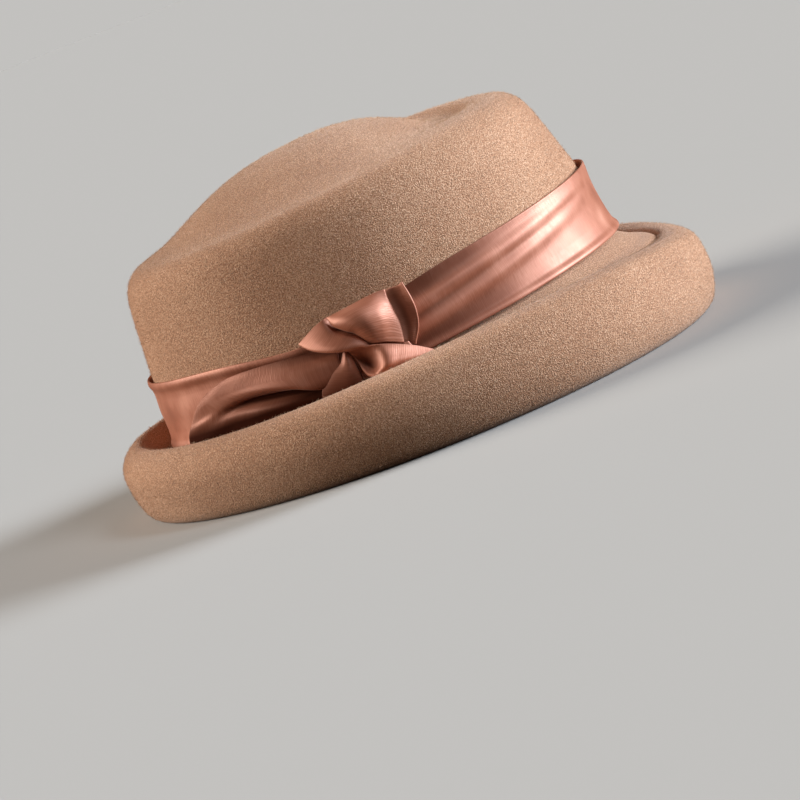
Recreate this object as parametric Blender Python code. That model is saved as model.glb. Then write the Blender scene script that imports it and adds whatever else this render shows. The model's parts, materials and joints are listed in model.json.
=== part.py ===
"""A soft felt hat with a rolled brim, a domed crown, a satin band and a tied satin knot.

Metres, +Z up, front of the hat along -Y. The roll of the brim stands on z = 0, with the
middle of its oval at the origin. Heights on the crown are measured from the headline, the
oval where the crown meets the brim, in a frame that leans back by CROWN_TILT.
"""

import math

import bmesh
import bpy
import numpy as np
from mathutils import Matrix

MM = 0.001

# Driving sizes of the head opening and the crown
HEAD_LENGTH = 202.0 * MM
HEAD_WIDTH = 170.0 * MM
HEADLINE_HEIGHT = 33.6 * MM
CROWN_TILT = math.radians(5.3)
CROWN_SET_BACK = 4.0 * MM
CROWN_FRONT_HEIGHT = 73.0 * MM
CROWN_SIDE_HEIGHT = 73.0 * MM
CROWN_BACK_HEIGHT = 74.0 * MM
DOME_HEIGHT = 91.4 * MM
FELT = 2.6 * MM

# Driving sizes of the brim
BRIM_LENGTH = 260.8 * MM
BRIM_WIDTH = 228.8 * MM
COLLAR_HEIGHT = 11.0 * MM
EDGE_GAP = 0.5 * MM

# Driving sizes of the trimmings
GAP = 0.4 * MM
BAND_THICKNESS = 0.7 * MM
SATIN = 0.8 * MM
SWEATBAND_HEIGHT = 26.0 * MM
SWEATBAND_THICKNESS = 1.0 * MM
WIRE_RADIUS = 1.0 * MM
JOINER_RADIUS = 2.1 * MM
JOINER_BORE = 1.35 * MM
JOINER_LENGTH = 18.0 * MM

SEGMENTS = 60

FELT_COLOUR = (0.52, 0.31, 0.16, 1.0)
SATIN_COLOUR = (0.50, 0.23, 0.15, 1.0)
LINING_COLOUR = (0.20, 0.11, 0.06, 1.0)
STEEL_COLOUR = (0.45, 0.45, 0.44, 1.0)


def material(name, colour, roughness, metallic=0.0):
    made = bpy.data.materials.new(name)
    made.use_nodes = True
    shader = made.node_tree.nodes["Principled BSDF"]
    shader.inputs["Base Color"].default_value = colour
    shader.inputs["Roughness"].default_value = roughness
    shader.inputs["Metallic"].default_value = metallic
    made.diffuse_color = colour
    return made


def blend(angle, front, side, back, power=2):
    """A size that changes round the hat: angle 0 is the wearer's left, -90 degrees the front."""
    share = abs(math.sin(angle)) ** power
    end = back if math.sin(angle) > 0 else front
    return side + (end - side) * share


def smooth_line(points, per_gap):
    """A smooth line through the points, with per_gap steps between neighbours."""
    points = np.asarray(points, float)
    padded = np.vstack([2 * points[0] - points[1], points, 2 * points[-1] - points[-2]])
    line = []
    for i in range(len(points) - 1):
        a, b, c, d = padded[i : i + 4]
        for step in range(per_gap):
            s = step / per_gap
            line.append(
                0.5
                * (2 * b + (c - a) * s + (2 * a - 5 * b + 4 * c - d) * s**2 + (3 * b - a - 3 * c + d) * s**3)
            )
    line.append(points[-1])
    return np.array(line)


def sheet(name, rows, thickness, offset, look, closed=False, pole=None):
    """A solid sheet through rows of points. offset -1 thickens it under its face, 1 above, 0 both ways."""
    mesh = bmesh.new()
    grid = [[mesh.verts.new(point) for point in row] for row in rows]
    columns = len(grid[0])
    for lower, upper in zip(grid, grid[1:]):
        for i in range(columns if closed else columns - 1):
            j = (i + 1) % columns
            mesh.faces.new((lower[i], lower[j], upper[j], upper[i]))
    if pole is not None:
        tip = mesh.verts.new(pole)
        for i in range(columns):
            mesh.faces.new((grid[-1][i], grid[-1][(i + 1) % columns], tip))
    data = bpy.data.meshes.new(name)
    mesh.to_mesh(data)
    mesh.free()
    made = bpy.data.objects.new(name, data)
    bpy.context.collection.objects.link(made)
    data.materials.append(look)
    thicken = made.modifiers.new("thickness", "SOLIDIFY")
    thicken.thickness = thickness
    thicken.offset = offset
    thicken.use_even_offset = True
    return made


def turn_angles():
    return [2 * math.pi * i / SEGMENTS for i in range(SEGMENTS)]


def from_crown(side, forward, height):
    """A point given across the hat, towards its front and above the headline, in world space."""
    return np.array(
        [
            side,
            CROWN_SET_BACK - forward * math.cos(CROWN_TILT) + height * math.sin(CROWN_TILT),
            HEADLINE_HEIGHT + forward * math.sin(CROWN_TILT) + height * math.cos(CROWN_TILT),
        ]
    )


def wall_halves(share, to_front):
    """Half length and half width of the crown's wall at this share of its height, on its front or back half."""
    shares = [0.0, 0.4, 0.6, 0.75, 0.88, 0.95, 0.985, 1.0]
    at_front = [0.0, 1.3, 4.3, 6.7, 9.6, 13.6, 18.0, 24.0]
    at_sides = [0.0, 3.2, 5.8, 8.4, 11.4, 14.4, 17.6, 22.0]
    at_back = [0.0, 3.2, 5.6, 7.4, 9.8, 13.2, 17.0, 21.0]
    half_length = HEAD_LENGTH / 2 - np.interp(share, shares, at_front if to_front else at_back) * MM
    return half_length, HEAD_WIDTH / 2 - np.interp(share, shares, at_sides) * MM


def rim_height(angle):
    """Height of the crown's edge, where its wall turns into its top."""
    return blend(angle, CROWN_FRONT_HEIGHT, CROWN_SIDE_HEIGHT, CROWN_BACK_HEIGHT)


def crown_point(angle, share, out=0.0):
    """A point on the crown's wall: share 0 is the headline and 1 the edge of the top."""
    half_length, half_width = wall_halves(share, math.sin(angle) < 0)
    height = share * rim_height(angle)
    return from_crown(
        (half_width + out) * math.cos(angle), -(half_length + out) * math.sin(angle), height
    )


def on_wall(forward, height, out):
    """A point on the wearer's right side of the crown's wall, out from the felt, in millimetres."""
    share = height * MM / CROWN_SIDE_HEIGHT
    half_length, half_width = wall_halves(share, forward > 0)
    turn = math.asin(forward * MM / half_length)
    normal = np.array([math.cos(turn) / half_width, math.sin(turn) / half_length])
    normal /= np.linalg.norm(normal)
    side = half_width * math.cos(turn) + normal[0] * out * MM
    return from_crown(-side, half_length * math.sin(turn) + normal[1] * out * MM, height * MM)


def make_crown(look):
    """Side wall, rounded edge and the domed top with its dent behind the front, in one felt shell."""
    start_share = 1.0 * MM / CROWN_SIDE_HEIGHT
    shares = [start_share, 0.2, 0.4, 0.6, 0.75, 0.88, 0.95, 0.985, 1.0]
    rows = [[crown_point(angle, share) for angle in turn_angles()] for share in shares]
    # Size of each ring of the top, and its height at the front, the sides and the back
    top_rings = [
        (0.92, 73.0, 74.6, 75.2),
        (0.82, 71.4, 77.2, 77.6),
        (0.70, 73.5, 80.6, 81.4),
        (0.55, 80.5, 84.8, 85.8),
        (0.38, 86.8, 88.6, 89.4),
        (0.20, 90.2, 90.8, 91.2),
    ]
    for scale, front, side, back in top_rings:
        row = []
        for angle in turn_angles():
            rim_length, rim_width = wall_halves(1.0, math.sin(angle) < 0)
            row.append(
                from_crown(
                    rim_width * scale * math.cos(angle),
                    -rim_length * scale * math.sin(angle),
                    blend(angle, front, side, back) * MM,
                )
            )
        rows.append(row)
    return sheet("crown", rows, FELT, -1, look, True, from_crown(0.0, 0.0, DOME_HEIGHT))


def headline_and_edge(angle):
    """Where this ray round the hat crosses the headline and the outermost oval of the brim."""
    inner = crown_point(angle, 0.0)
    outer = np.array(
        [BRIM_WIDTH / 2 * math.cos(angle), BRIM_LENGTH / 2 * math.sin(angle), 0.0]
    )
    return inner, outer


def crest_height(angle):
    """Height of the roll's crest, which is tallest beside the front and lowest at the back."""
    ahead = -math.sin(angle)
    return (36.0 + 6.5 * ahead - 3.25 * ahead**2 - 4.75 * ahead**3) * MM


def brim_key_points(angle):
    """The middle of the felt, as distance out from the headline and height above the table."""
    inner, outer = headline_and_edge(angle)
    reach = np.linalg.norm((outer - inner)[:2])
    head = inner[2]
    half = FELT / 2
    valley_out = reach * blend(angle, 0.50, 0.29, 0.27, 4)
    valley = head + blend(angle, -14.0, -2.8, -2.0, 2.5) * MM
    bottom_out = reach * blend(angle, 0.72, 0.58, 0.60)
    crest_out = reach * blend(angle, 0.78, 0.66, 0.64)
    crest = crest_height(angle)
    tip = blend(angle, 14.5, 17.0, 18.0) * MM
    lip_out = valley_out + half + 1.2 * MM
    lip = valley + half + EDGE_GAP
    lean = math.sin(CROWN_TILT) * math.sin(angle) - 0.12
    return [
        (-4.4 * MM + lean * COLLAR_HEIGHT, head + COLLAR_HEIGHT),
        (-4.4 * MM + lean * 3 * MM, head + 3.0 * MM),
        (-3.9 * MM, head - 0.6 * MM),
        (-1.2 * MM, head - 2.1 * MM),
        (valley_out * 0.5, (head - 2.6 * MM + valley) / 2 - half * 0.6),
        (valley_out, valley - half),
        (valley_out + 1.6 * MM, valley * 0.52),
        (bottom_out - 3.2 * MM, 3.4 * MM),
        (bottom_out, half - 0.5 * MM),
        (bottom_out + (reach - bottom_out) * 0.55, 3.6 * MM),
        (reach - half, tip),
        (crest_out + (reach - crest_out) * 0.62, crest - 5.4 * MM),
        (crest_out, crest - half),
        ((crest_out + lip_out) / 2, (crest - half) * 0.58 + lip * 0.42),
        (lip_out, lip),
    ]


def brim_row(angle):
    inner, outer = headline_and_edge(angle)
    away = (outer - inner)[:2] / np.linalg.norm((outer - inner)[:2])
    line = smooth_line(brim_key_points(angle), 2)
    return [(inner[0] + away[0] * out, inner[1] + away[1] * out, height) for out, height in line]


def table_cutter():
    """A block whose top is the table, used to press the underside of the roll flat."""
    mesh = bmesh.new()
    bmesh.ops.create_cube(mesh, size=1.0, matrix=Matrix.Diagonal((0.4, 0.4, 0.02, 1.0)))
    bmesh.ops.translate(mesh, vec=(0.0, 0.0, -0.01), verts=mesh.verts)
    data = bpy.data.meshes.new("table_cutter")
    mesh.to_mesh(data)
    mesh.free()
    made = bpy.data.objects.new("table_cutter", data)
    bpy.context.collection.objects.link(made)
    made.hide_render = True
    made.display_type = "WIRE"
    return made


def make_brim(look):
    """Collar, underside, roll and turned-in edge, in one felt strip bent to its section."""
    sections = [brim_row(angle) for angle in turn_angles()]
    rows = list(zip(*sections))
    made = sheet("brim", rows, FELT, 0, look, True)
    flatten = made.modifiers.new("flat underside", "BOOLEAN")
    flatten.operation = "DIFFERENCE"
    flatten.solver = "EXACT"
    flatten.object = table_cutter()
    return made


def wire_centre(angle):
    inner, outer = headline_and_edge(angle)
    share = blend(angle, 0.80, 0.70, 0.69)
    place = inner + (outer - inner) * share
    return np.array([place[0], place[1], crest_height(angle) - 7.0 * MM])


def tube_row(angle, radius, sides):
    """A ring of points round the wire's path at this angle."""
    step = 0.01
    along = wire_centre(angle + step) - wire_centre(angle - step)
    along /= np.linalg.norm(along)
    across = np.cross(along, (0.0, 0.0, 1.0))
    across /= np.linalg.norm(across)
    upward = np.cross(across, along)
    turns = [2 * math.pi * i / sides for i in range(sides)]
    return [
        wire_centre(angle) + radius * (math.cos(turn) * across + math.sin(turn) * upward)
        for turn in turns
    ]


def capped_tube(name, rows, look):
    """A solid rod through rings of points, closed at both ends."""
    mesh = bmesh.new()
    rings = [[mesh.verts.new(point) for point in row] for row in rows]
    sides = len(rings[0])
    for first, second in zip(rings, rings[1:]):
        for i in range(sides):
            j = (i + 1) % sides
            mesh.faces.new((first[i], first[j], second[j], second[i]))
    mesh.faces.new(reversed(rings[0]))
    mesh.faces.new(rings[-1])
    bmesh.ops.recalc_face_normals(mesh, faces=mesh.faces)
    data = bpy.data.meshes.new(name)
    mesh.to_mesh(data)
    mesh.free()
    made = bpy.data.objects.new(name, data)
    bpy.context.collection.objects.link(made)
    data.materials.append(look)
    return made


def make_brim_wire(look):
    """One wire all round inside the roll, with its ends close together at the back."""
    gap_angle = 0.5 * MM / (BRIM_LENGTH / 2)
    start = math.pi / 2 + gap_angle
    end = math.pi / 2 + 2 * math.pi - gap_angle
    rows = [tube_row(angle, WIRE_RADIUS, 6) for angle in np.linspace(start, end, SEGMENTS + 1)]
    return capped_tube("brim_wire", rows, look)


def make_wire_joiner(look):
    """A crimped sleeve over the two ends of the wire."""
    half_angle = JOINER_LENGTH / 2 / (BRIM_WIDTH / 2)
    angles = np.linspace(math.pi / 2 - half_angle, math.pi / 2 + half_angle, 5)
    rows = [tube_row(angle, JOINER_RADIUS, 10) for angle in angles]
    return sheet("wire_joiner", rows, JOINER_RADIUS - JOINER_BORE, -1, look, True)


def make_sweatband(look):
    """The stiff ribbon ring that sits against the head, inside the collar."""
    heights = [0.6, 9.0, 18.0, SWEATBAND_HEIGHT / MM]
    rows = []
    for height in heights:
        share = height * MM / CROWN_SIDE_HEIGHT
        out = -7.4 * MM - 0.05 * height * MM
        rows.append([crown_point(angle, share, out) for angle in turn_angles()])
    return sheet("sweatband", rows, SWEATBAND_THICKNESS, 0, look, True)


def band_top(angle):
    """Height of the band's upper edge: it is drawn in beside the knot."""
    full = blend(angle, 31.0, 28.5, 30.0)
    from_knot = math.atan2(math.sin(angle - math.pi), math.cos(angle - math.pi))
    return full - 6.0 * math.exp(-((from_knot + 0.28) / 0.36) ** 2)


def make_satin_band(look):
    """A ribbon laid round the crown in three soft lengthwise folds."""
    shares = [0.0, 0.12, 0.26, 0.40, 0.54, 0.68, 0.82, 0.93, 1.0]
    swell = [0.5, 0.9, 0.3, 0.9, 0.3, 1.0, 0.4, 0.7, 0.4]
    stand_off = [2.5, 2.2, 1.2, 1.0, 0.8, 1.0, 1.2, 1.8, 2.2]
    rows = []
    for share, fold, proud in zip(shares, swell, stand_off):
        row = []
        for angle in turn_angles():
            height = (0.8 + (band_top(angle) - 0.8) * share) * MM
            wall = height / rim_height(angle)
            row.append(crown_point(angle, wall, GAP + blend(angle, proud, fold, fold, 4) * MM))
        rows.append(row)
    return sheet("satin_band", rows, BAND_THICKNESS, 1, look, True)


def satin_piece(name, rails, look, per_gap=3):
    """A bent piece of satin through its rails. A rail is a list of (forward, height, out) in millimetres."""
    along = [smooth_line(rail, per_gap) for rail in rails]
    across = [smooth_line(column, per_gap) for column in np.swapaxes(along, 0, 1)]
    rows = [[on_wall(*point) for point in row] for row in across]
    return sheet(name, rows, SATIN, 0, look)


def make_left_tail(look):
    top = [(-21, 14.5, 3.6), (-33, 19.0, 3.6), (-46, 21.8, 3.6), (-58, 23.6, 3.6), (-68, 23.4, 3.6)]
    hollow = [(-21.5, 11.5, 3.4), (-35, 14.5, 3.4), (-50, 17.5, 3.4), (-64, 19.5, 3.4), (-79, 18.6, 3.4)]
    ridge = [(-22, 8.5, 3.8), (-36, 9.0, 5.6), (-52, 11.0, 6.0), (-68, 13.0, 5.4), (-85, 13.5, 3.8)]
    fall = [(-23, 5.5, 3.5), (-38, 4.5, 4.0), (-56, 5.5, 4.0), (-72, 7.0, 3.8), (-89.5, 7.0, 3.4)]
    foot = [(-24, 2.5, 3.5), (-40, 1.0, 3.6), (-58, 1.0, 3.6), (-75, 1.0, 3.6), (-91, 1.0, 3.6)]
    return satin_piece("knot_left_tail", [top, hollow, ridge, fall, foot], look)


def make_left_lobe(look):
    """The pointed side of the loop, which turns down towards the back of the hat."""
    rails = [
        [(-19.5, 29.2, 4.8), (-16.5, 24.2, 4.8), (-12.8, 18.8, 5.4), (-8.5, 13.0, 6.6)],
        [(-24.5, 27.6, 5.4), (-20.0, 22.5, 6.6), (-15.0, 17.6, 6.8), (-9.2, 12.6, 6.8)],
        [(-30.0, 25.8, 4.8), (-24.5, 21.3, 6.8), (-17.5, 16.8, 6.8), (-10.0, 12.4, 6.8)],
        [(-35.2, 24.0, 3.6), (-28.5, 20.6, 5.4), (-20.0, 16.4, 5.8), (-10.8, 12.0, 6.6)],
        [(-34.2, 22.4, 3.4), (-27.0, 19.2, 4.0), (-19.0, 15.6, 4.6), (-11.2, 11.6, 6.4)],
    ]
    return satin_piece("knot_left_lobe", rails, look, 2)


def make_upper_loop(look):
    """The broad front of the loop, spread upwards from the middle of the knot."""
    rails = [
        [(-7.0, 13.0, 8.2), (-10.5, 19.3, 8.4), (-15.5, 24.2, 7.8), (-20.0, 30.0, 7.0)],
        [(-6.0, 13.0, 8.4), (-7.0, 19.5, 9.8), (-9.5, 25.0, 9.2), (-12.0, 30.2, 7.2)],
        [(-4.5, 12.5, 8.4), (-3.0, 18.5, 10.0), (-3.0, 24.5, 9.6), (-3.0, 29.8, 7.8)],
        [(-2.5, 11.0, 8.2), (0.5, 16.5, 9.4), (2.0, 22.5, 9.2), (4.4, 28.6, 8.2)],
        [(1.8, 6.0, 7.0), (3.4, 11.5, 8.2), (4.4, 18.0, 8.6), (5.0, 27.6, 8.2)],
    ]
    return satin_piece("knot_upper_loop", rails, look, 2)


def make_upper_end(look):
    """The strip behind the loop, whose free edge stands out beside the band."""
    rails = [
        [(-0.5, 8.0, 4.4), (-0.5, 17.0, 5.0), (-1.0, 27.5, 5.2)],
        [(4.0, 7.0, 4.0), (6.5, 17.4, 4.4), (5.5, 28.2, 5.4)],
        [(7.2, 5.5, 5.0), (12.2, 16.5, 6.4), (12.6, 28.8, 7.2)],
    ]
    return satin_piece("knot_upper_end", rails, look)


def make_lower_leaf(look):
    """A short end of the ribbon that drops behind the roll."""
    rails = [
        [(-19.5, 14.8, 7.0), (-23, 11.4, 6.8), (-30, 7.5, 6.8), (-37, 1.2, 5.8)],
        [(-19.0, 14.6, 7.2), (-21, 10.6, 8.0), (-26, 6.0, 8.2), (-30, 1.0, 6.6)],
        [(-18.5, 14.4, 7.2), (-19, 10.0, 7.8), (-21, 5.5, 7.8), (-23, 1.0, 6.4)],
        [(-18.0, 14.0, 7.0), (-17.6, 9.4, 7.2), (-17, 5.0, 7.2), (-16.5, 1.0, 6.2)],
    ]
    return satin_piece("knot_lower_leaf", rails, look)


def make_lower_petal(look):
    """The wide front loop that crosses the middle of the knot."""
    rails = [
        [(-17.9, 14.8, 8.8), (-10.4, 13.9, 9.8), (-3.3, 11.4, 10.4), (4.9, 6.2, 9.6), (13.2, 0.2, 7.6)],
        [(-15.5, 12.0, 8.6), (-10.5, 10.4, 9.0), (-3.8, 8.6, 11.4), (4.3, 4.2, 10.4), (12.8, -0.2, 7.4)],
        [(-14.2, 9.2, 8.6), (-11.2, 7.2, 8.8), (-5.0, 5.4, 11.6), (3.3, 2.2, 10.0), (12.2, -0.6, 7.2)],
        [(-13.6, 6.6, 9.2), (-11.6, 4.4, 10.0), (-6.4, 2.6, 10.4), (2.2, 0.4, 8.8), (11.4, -0.9, 6.8)],
        [(-14.6, 6.0, 10.2), (-12.6, 2.8, 10.6), (-8.0, 0.9, 9.0), (1.0, -0.6, 7.8), (10.6, -1.1, 6.4)],
    ]
    return satin_piece("knot_lower_petal", rails, look, 2)


def make_core(look):
    """The small wrapped bar of ribbon that gathers the knot and is sewn to the band."""
    centre = on_wall(-12.0, 9.0, 4.2)
    mesh = bmesh.new()
    bmesh.ops.create_uvsphere(mesh, u_segments=12, v_segments=8, radius=1.0)
    size = Matrix.Diagonal((1.2 * MM, 5.0 * MM, 3.6 * MM, 1.0))
    bmesh.ops.transform(mesh, matrix=size, verts=mesh.verts)
    data = bpy.data.meshes.new("knot_core")
    mesh.to_mesh(data)
    mesh.free()
    made = bpy.data.objects.new("knot_core", data)
    bpy.context.collection.objects.link(made)
    made.location = centre
    data.materials.append(look)
    return made


def main():
    for old in list(bpy.data.objects):
        bpy.data.objects.remove(old)
    felt = material("camel_felt", FELT_COLOUR, 0.95)
    satin = material("copper_satin", SATIN_COLOUR, 0.38)
    ribbon = material("brown_ribbon", LINING_COLOUR, 0.8)
    steel = material("wire_steel", STEEL_COLOUR, 0.4, 1.0)
    make_crown(felt)
    make_brim(felt)
    make_brim_wire(steel)
    make_wire_joiner(steel)
    make_sweatband(ribbon)
    make_satin_band(satin)
    make_core(satin)
    make_left_tail(satin)
    make_left_lobe(satin)
    make_upper_loop(satin)
    make_upper_end(satin)
    make_lower_leaf(satin)
    make_lower_petal(satin)


main()
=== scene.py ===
# %% [markdown]
# # A felt hat with a rolled brim
#
# This lesson dresses a plain model of a soft felt hat: a low domed crown with a dent behind its
# front, a brim that curls up into a roll, and a satin band tied in a knot on one side. The packed
# model gives the sizes and places. Each cell below makes one piece or one finish.

import json
import math

import bpy
import numpy as np
from mathutils import Matrix, Vector


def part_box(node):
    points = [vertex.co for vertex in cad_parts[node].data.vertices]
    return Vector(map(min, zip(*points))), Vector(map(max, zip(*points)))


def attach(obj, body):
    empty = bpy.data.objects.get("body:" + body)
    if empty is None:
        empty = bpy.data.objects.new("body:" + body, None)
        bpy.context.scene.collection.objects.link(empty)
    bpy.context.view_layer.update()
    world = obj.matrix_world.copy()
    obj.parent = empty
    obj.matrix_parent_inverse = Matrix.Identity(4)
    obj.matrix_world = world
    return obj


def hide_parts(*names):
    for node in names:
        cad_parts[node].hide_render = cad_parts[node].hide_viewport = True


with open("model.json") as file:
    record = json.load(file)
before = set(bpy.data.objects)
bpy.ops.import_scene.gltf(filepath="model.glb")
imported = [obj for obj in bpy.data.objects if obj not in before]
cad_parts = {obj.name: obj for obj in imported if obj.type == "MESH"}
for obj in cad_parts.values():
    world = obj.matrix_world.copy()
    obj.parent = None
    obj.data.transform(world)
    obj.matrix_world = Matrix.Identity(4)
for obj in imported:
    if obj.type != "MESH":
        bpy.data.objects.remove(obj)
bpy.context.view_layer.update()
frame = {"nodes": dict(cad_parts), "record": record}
BODY = "root"
MM = 0.001
print("nodes", sorted(frame["nodes"]))

# %% [markdown]
# ## Camera
#
# The hat was photographed from its right side, a little from above, and tilted so that its
# front rises. The model stands level, so the camera rolls instead. The distance and the scale
# come from ovals fitted to the brim and the band.

# %% Camera
PHOTO_SIZE = 800
CAMERA_DISTANCE = 1.3
CAMERA_YAW = math.radians(0.6)
CAMERA_ELEVATION = math.radians(9.0)
CAMERA_ROLL = math.radians(21.36)
PIXELS_PER_METRE = 2378.8
AXIS_PIXEL_X = 427.3
AXIS_PIXEL_Y = 408.2
AIM = Vector((0.0, 0.002, 0.0))
SENSOR = 36.0

look = Vector(
    (
        math.cos(CAMERA_YAW) * math.cos(CAMERA_ELEVATION),
        -math.sin(CAMERA_YAW) * math.cos(CAMERA_ELEVATION),
        -math.sin(CAMERA_ELEVATION),
    )
)
level_right = Vector((-math.sin(CAMERA_YAW), -math.cos(CAMERA_YAW), 0.0))
level_up = level_right.cross(look)
image_right = level_right * math.cos(CAMERA_ROLL) - level_up * math.sin(CAMERA_ROLL)
image_up = level_right * math.sin(CAMERA_ROLL) + level_up * math.cos(CAMERA_ROLL)

camera_data = bpy.data.cameras.new("camera")
camera_data.sensor_width = SENSOR
camera_data.lens = PIXELS_PER_METRE * CAMERA_DISTANCE * SENSOR / PHOTO_SIZE
camera_data.shift_x = 0.5 - AXIS_PIXEL_X / PHOTO_SIZE
camera_data.shift_y = AXIS_PIXEL_Y / PHOTO_SIZE - 0.5
camera = bpy.data.objects.new("camera", camera_data)
bpy.context.scene.collection.objects.link(camera)
camera.matrix_world = Matrix.Translation(AIM - look * CAMERA_DISTANCE) @ Matrix(
    (image_right, image_up, -look)
).transposed().to_4x4()
bpy.context.scene.camera = camera
print("lens", round(camera_data.lens, 1), "mm")

# %% [markdown]
# ## Shader sums
#
# Node trees are easier to read as sums. A small class wraps one socket, so that an expression
# on it adds Math nodes, and one method adds any other node.


# %% Shader sums
class Tone:
    """One shader socket, which can be used in Python sums."""

    def __init__(self, tree, socket=None):
        self.tree = tree
        self.socket = socket

    def node(self, kind, settings=None, sockets=None, output=0):
        made = self.tree.nodes.new(kind)
        for name, value in (settings or {}).items():
            if name == "stops":
                fill_ramp(made.color_ramp, value)
            else:
                setattr(made, name, value)
        for name, value in (sockets or {}).items():
            if isinstance(value, Tone):
                self.tree.links.new(value.socket, made.inputs[name])
            else:
                made.inputs[name].default_value = value
        return Tone(self.tree, made.outputs[output])

    def sum_node(self, operation, first, second):
        return self.node("ShaderNodeMath", {"operation": operation}, {0: first, 1: second})

    def __add__(self, other):
        return self.sum_node("ADD", self, other)

    def __sub__(self, other):
        return self.sum_node("SUBTRACT", self, other)

    def __rsub__(self, other):
        return self.sum_node("SUBTRACT", other, self)

    def __mul__(self, other):
        return self.sum_node("MULTIPLY", self, other)

    __radd__ = __add__
    __rmul__ = __mul__


def fill_ramp(ramp, stops):
    while len(ramp.elements) > 1:
        ramp.elements.remove(ramp.elements[-1])
    ramp.elements[0].position, ramp.elements[0].color = stops[0]
    for place, colour in stops[1:]:
        ramp.elements.new(place).color = colour


def new_finish(name):
    """A new material, its shader node and an empty tone to start sums from."""
    made = bpy.data.materials.new(name)
    made.use_nodes = True
    shader = made.node_tree.nodes["Principled BSDF"]
    return made, shader, Tone(made.node_tree)


def feed(shader, socket, tone):
    tone.tree.links.new(tone.socket, shader.inputs[socket])


def mixed(base, factor, first, second, how="MIX"):
    settings = {"data_type": "RGBA", "blend_type": how}
    return base.node("ShaderNodeMix", settings, {0: factor, 6: first, 7: second}, 2)


# %% [markdown]
# ## Felt
#
# Wool felt is a mat of short curled fibres. From a step away it shows as fine speckles of light
# and dark, a soft relief and a pale bloom where the light grazes it. Two sizes of noise give the
# speckle and the relief, and a third gives slow changes of tone. A rough gloss and the shader's
# sheen give the bloom.

# %% Felt
FELT_DARK = (0.22, 0.084, 0.030, 1.0)
FELT_MID = (0.455, 0.202, 0.086, 1.0)
FELT_PALE = (0.765, 0.468, 0.292, 1.0)
FIBRE_SIZE = 0.30 * MM
TUFT_SIZE = 0.50 * MM
CLOUD_SIZE = 40.0 * MM
FIBRE_SHARE = 0.30
TUFT_SHARE = 0.57
CLOUD_SHARE = 0.13
FELT_RELIEF = 0.7 * MM


def noise(place, size, detail):
    """Noise with grains of about this size."""
    return place.node("ShaderNodeTexNoise", {}, {"Vector": place, "Scale": 1 / size, "Detail": detail})


def felt_finish():
    made, shader, start = new_finish("camel_felt")
    place = start.node("ShaderNodeTexCoord", output=3)
    fibres = noise(place, FIBRE_SIZE, 1.0)
    tufts = noise(place, TUFT_SIZE, 1.0)
    clouds = noise(place, CLOUD_SIZE, 2.0)
    grain = fibres * FIBRE_SHARE + tufts * TUFT_SHARE + clouds * CLOUD_SHARE
    colour = grain.node(
        "ShaderNodeValToRGB",
        {"stops": [(0.36, FELT_DARK), (0.5, FELT_MID), (0.64, FELT_PALE)]},
        {"Fac": grain},
    )
    feed(shader, "Base Color", colour)
    height = fibres * 0.4 + tufts * 0.6
    relief = place.node("ShaderNodeBump", {}, {"Height": height, "Distance": FELT_RELIEF, "Strength": 1.0})
    feed(shader, "Normal", relief)
    shader.inputs["Roughness"].default_value = 0.75
    shader.inputs["Specular IOR Level"].default_value = 0.7
    shader.inputs["Sheen Weight"].default_value = 0.3
    shader.inputs["Sheen Roughness"].default_value = 0.45
    shader.inputs["Sheen Tint"].default_value = (1.0, 0.92, 0.84, 1.0)
    return made


felt = felt_finish()
print("finish", felt.name)

# %% [markdown]
# ## Satin
#
# The band is a satin ribbon. Its long floats of thread shine, and fine cross ribs break the
# shine into short streaks. The ribs run across the ribbon, so the pattern reads the ribbon's
# own UV map, which each satin piece below stores in metres. Each piece also stores a share of
# painted shade, from how deep it lies in a fold, behind the roll or under other layers, and that
# share mixes in a second, dark and dull shader: shade painted into the folds.

# %% Satin
# Colour of the painted shade that darkens the satin in folds, behind the roll and under loops.
SATIN_PAINTED_SHADE = (0.050, 0.010, 0.003, 1.0)
SATIN_DEEP = (0.24, 0.070, 0.034, 1.0)
SATIN_MID = (0.39, 0.132, 0.072, 1.0)
SATIN_ROSE = (0.60, 0.265, 0.175, 1.0)
RIB_PITCH = 0.65 * MM
RIB_LENGTH = 6.0 * MM
DRAW_SIZE = 16.0 * MM
SATIN_RELIEF = 0.14 * MM
SMOOTHEST_SATIN = 0.30


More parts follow.
